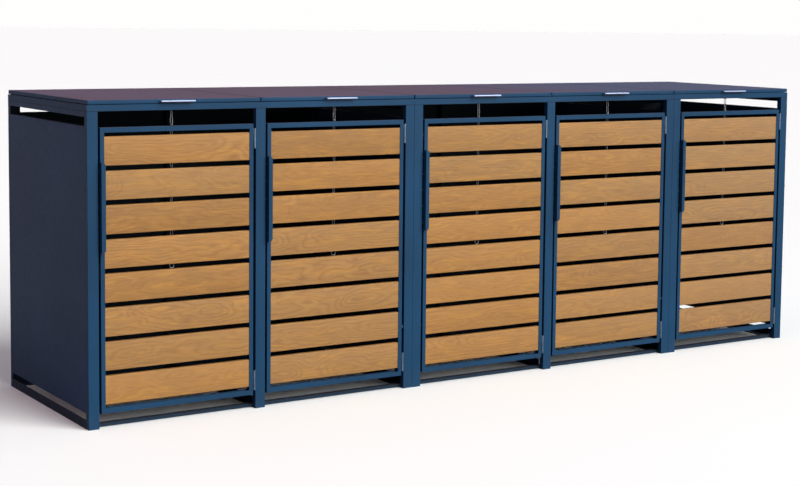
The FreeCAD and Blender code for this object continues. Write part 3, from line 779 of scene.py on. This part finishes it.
# Lid chains: welded, zinc plated links, each turned a quarter from the last, hung from an eye in
# the lid. At the end is a snap hook of bent wire for the bin's own lid.
def link_tree():
    tree, given = new_tree("Links of a chain", {
        "Start": "Vector", "Width": "Float", "Length": "Float", "Wire": "Float",
        "Pitch": "Float", "Count": "Int", "Turn First": "Float", "Finish": "Material"})
    slim = wire(tree, "ShaderNodeMath", {0: given["Width"], 1: given["Wire"]}, operation="SUBTRACT")
    tall = wire(tree, "ShaderNodeMath", {0: given["Length"], 1: given["Wire"]}, operation="SUBTRACT")
    half = wire(tree, "ShaderNodeMath", {0: slim.outputs[0], 1: 0.499}, operation="MULTIPLY")
    outline = wire(tree, "GeometryNodeCurvePrimitiveQuadrilateral", {
        "Width": slim.outputs[0], "Height": tall.outputs[0]})
    oval = wire(tree, "GeometryNodeFilletCurve", {
        "Curve": outline.outputs[0], "Radius": half.outputs[0], "Count": 5}, mode="POLY")
    upright = wire(tree, "GeometryNodeTransform", {
        "Geometry": oval.outputs[0], "Rotation": (math.pi / 2.0, 0.0, 0.0)})
    round_wire = wire(tree, "ShaderNodeMath", {0: given["Wire"], 1: 0.5}, operation="MULTIPLY")
    section = wire(tree, "GeometryNodeCurvePrimitiveCircle", {
        "Resolution": 8, "Radius": round_wire.outputs[0]})
    link = wire(tree, "GeometryNodeCurveToMesh", {
        "Curve": upright.outputs[0], "Profile Curve": section.outputs[0]})
    down = wire(tree, "ShaderNodeMath", {0: given["Pitch"], 1: -1.0}, operation="MULTIPLY")
    step = wire(tree, "ShaderNodeCombineXYZ", {"Z": down.outputs[0]})
    row = wire(tree, "GeometryNodeMeshLine", {
        "Count": given["Count"], "Start Location": given["Start"], "Offset": step.outputs[0]},
        mode="OFFSET")
    index = wire(tree, "GeometryNodeInputIndex")
    odd = wire(tree, "ShaderNodeMath", {0: index.outputs[0], 1: 2.0}, operation="MODULO")
    quarter = wire(tree, "ShaderNodeMath", {
        0: odd.outputs[0], 1: math.pi / 2.0, 2: given["Turn First"]}, operation="MULTIPLY_ADD")
    angle = wire(tree, "ShaderNodeCombineXYZ", {"Z": quarter.outputs[0]})
    turned = wire(tree, "FunctionNodeEulerToRotation", {0: angle.outputs[0]})
    links = wire(tree, "GeometryNodeInstanceOnPoints", {
        "Points": row.outputs[0], "Instance": link.outputs[0], "Rotation": turned.outputs[0]})
    end_tree(tree, links.outputs[0], given["Finish"])
    return tree


def wire_tree():
    tree, given = new_tree("Bent wire", {"Wire": "Float", "Finish": "Material"})
    line = wire(tree, "GeometryNodeMeshToCurve", {"Mesh": tree.nodes["Group Input"].outputs["Geometry"]})
    half = wire(tree, "ShaderNodeMath", {0: given["Wire"], 1: 0.5}, operation="MULTIPLY")
    section = wire(tree, "GeometryNodeCurvePrimitiveCircle", {"Resolution": 10, "Radius": half.outputs[0]})
    bar = wire(tree, "GeometryNodeCurveToMesh", {
        "Curve": line.outputs[0], "Profile Curve": section.outputs[0], "Fill Caps": True})
    end_tree(tree, bar.outputs[0], given["Finish"])
    return tree


def bent(centre, path, diameter):
    """A wire along a path of (x, z) about a centre."""
    mesh = bpy.data.meshes.new("path")
    mesh.from_pydata([(centre[0] + x, centre[1], centre[2] + z) for x, z in path],
                     [(i, i + 1) for i in range(len(path) - 1)], [])
    return grown(wires_of, {"Wire": diameter, "Finish": chain_steel}, mesh, smooth_below=soft_below)


links_of, wires_of = link_tree(), wire_tree()
chain_steel = bare_steel("plated chain", tint(186, 187, 190), roughness=0.38, streak=(200.0, 200.0, 200.0))
soft_below = 60.0
link_width, link_length, link_wire, link_pitch, link_count = 0.012, 0.0314, 0.0027, 0.0257, 22
first_turn = 0.17
hook_width, hook_length, hook_wire, gate_wire = 0.020, 0.048, 0.004, 0.0028
bow, rise = (hook_width - hook_wire) / 2.0, (hook_length - hook_width) / 2.0
steps = [i * math.pi / 10.0 for i in range(11)]
over = [(bow * math.cos(turn), rise + bow * math.sin(turn)) for turn in steps]
under = [(-x, -z) for x, z in over]
hook_line = [(bow, 0.006)] + over + under + [(bow, -0.010)]
gate_line = [(bow, -0.0095), (bow - 0.0006, 0.0045)]
hook_wires = [(hook_line, hook_wire), (gate_line, gate_wire)]
for number in doors:
    node = "lid_chain_%d" % number
    low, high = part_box(node)
    middle = (low + high) / 2.0
    run = grown(links_of, {
        "Start": (middle.x, middle.y, high.z - link_length / 2.0), "Width": link_width,
        "Length": link_length, "Wire": link_wire, "Pitch": link_pitch, "Count": link_count,
        "Turn First": first_turn, "Finish": chain_steel}, smooth_below=soft_below)
    centre = (middle.x, middle.y, low.z + hook_length / 2.0)
    hook = [bent(centre, path, diameter) for path, diameter in hook_wires]
    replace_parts(show("chain_%d" % number, joined([run] + hook), "chain_%d" % number),
                node)


# Floor: a plain and pale sheet of matt paper that runs far past the store.
# It throws back less light than it shows, as paper does that is screened from the lamps.
def paper_finish():
    material, tree, shader, place = new_finish("pale paper", Roughness=0.9, Specular_IOR_Level=0.1)
    cloud = wire(tree, "ShaderNodeTexNoise", {"Vector": place.outputs["Object"], "Scale": 0.7,
                                              "Detail": 2.0})
    shown = ramp(tree, cloud.outputs["Fac"], [(0.3, [0.955, 0.995, 1.0, 1.0]),
                                              (0.7, [0.965, 1.0, 1.0, 1.0])])
    ray = wire(tree, "ShaderNodeLightPath")
    thrown_back = (0.30, 0.30, 0.31, 1.0)
    colour = blend_colour(tree, ray.outputs["Is Camera Ray"], thrown_back, shown)
    tree.links.new(colour, shader.inputs["Base Color"])
    return material


half_side = 150.0
work = bmesh.new()
bmesh.ops.create_grid(work, x_segments=1, y_segments=1, size=half_side)
floor_mesh = bpy.data.meshes.new("floor")
work.to_mesh(floor_mesh)
work.free()
floor_mesh.materials.append(paper_finish())
floor = bpy.data.objects.new("floor", floor_mesh)
bpy.context.collection.objects.link(floor)


# Light: a soft sun from the front right and above, a panel of light to its right, and a pale room
# that is warmer and brighter on the left.
sun_data = bpy.data.lights.new("key", "SUN")
sun_data.energy = 4.0
sun_data.angle = math.radians(50.0)
sun_data.color = (1.0, 0.97, 0.93)
sun = bpy.data.objects.new("key", sun_data)
bpy.context.collection.objects.link(sun)
toward = Vector((0.32, -0.78, 0.54))
sun.matrix_world = toward.to_track_quat("Z", "Y").to_matrix().to_4x4()
fill_data = bpy.data.lights.new("fill", "AREA")
fill_data.energy = 26.0
fill_data.color = (0.72, 0.88, 1.0)
fill_data.size = 2.5
fill = bpy.data.objects.new("fill", fill_data)
bpy.context.collection.objects.link(fill)
stand, toward = Vector((2.8, -4.6, 2.0)), Vector((0.3, -1.0, 0.25))
fill.matrix_world = Matrix.Translation(stand) @ toward.to_track_quat("Z", "Y").to_matrix().to_4x4()
world = bpy.data.worlds.new("room")
bpy.context.scene.world = world
world.use_nodes = True
air = world.node_tree
way = wire(air, "ShaderNodeTexCoord")
parts = wire(air, "ShaderNodeSeparateXYZ", {"Vector": way.outputs["Generated"]})
side = wire(air, "ShaderNodeMapRange", {"Value": parts.outputs["X"], "From Min": -0.7,
                                        "From Max": 0.5})
room = air.nodes["Background"]
hue = ramp(air, side.outputs[0], [(0.0, [1.0, 0.54, 0.68, 1.0]), (0.55, [0.88, 0.94, 1.0, 1.0])])
power = ramp(air, side.outputs[0], [(0.0, 0.46), (0.35, 0.31), (1.0, 0.40)])
air.links.new(hue, room.inputs["Color"])
air.links.new(power, room.inputs["Strength"])
paper = wire(air, "ShaderNodeBackground", {"Color": (1.0, 0.995, 0.99, 1.0), "Strength": 1.0})
seen = wire(air, "ShaderNodeLightPath")
choice = wire(air, "ShaderNodeMixShader", {0: seen.outputs["Is Camera Ray"],
                                           1: room.outputs[0], 2: paper.outputs[0]})
air.links.new(choice.outputs[0], air.nodes["World Output"].inputs["Surface"])


# Camera: at the photograph's viewing angle, in front of the store's left end and above its lids.
# Its azimuth is counted from straight ahead to the right.
camera_data = bpy.data.cameras.new("camera")
camera_data.sensor_width = 36.0
camera_data.lens = 74.199
camera_data.shift_x = -0.10872
camera_data.shift_y = -0.09902
camera_data.clip_end = 200.0
camera = bpy.data.objects.new("camera", camera_data)
bpy.context.collection.objects.link(camera)
azimuth, drop, roll = (math.radians(angle) for angle in (34.6203, 5.0325, 0.8355))
ahead = Vector((math.sin(azimuth) * math.cos(drop), math.cos(azimuth) * math.cos(drop),
                -math.sin(drop)))
stand = Vector((-3.829238, -5.967057, 1.485971))
camera.matrix_world = (Matrix.Translation(stand)
                       @ ahead.to_track_quat("-Z", "Y").to_matrix().to_4x4()
                       @ Matrix.Rotation(roll, 4, "Z"))
bpy.context.scene.camera = camera
bpy.context.scene.view_settings.view_transform = "Standard"
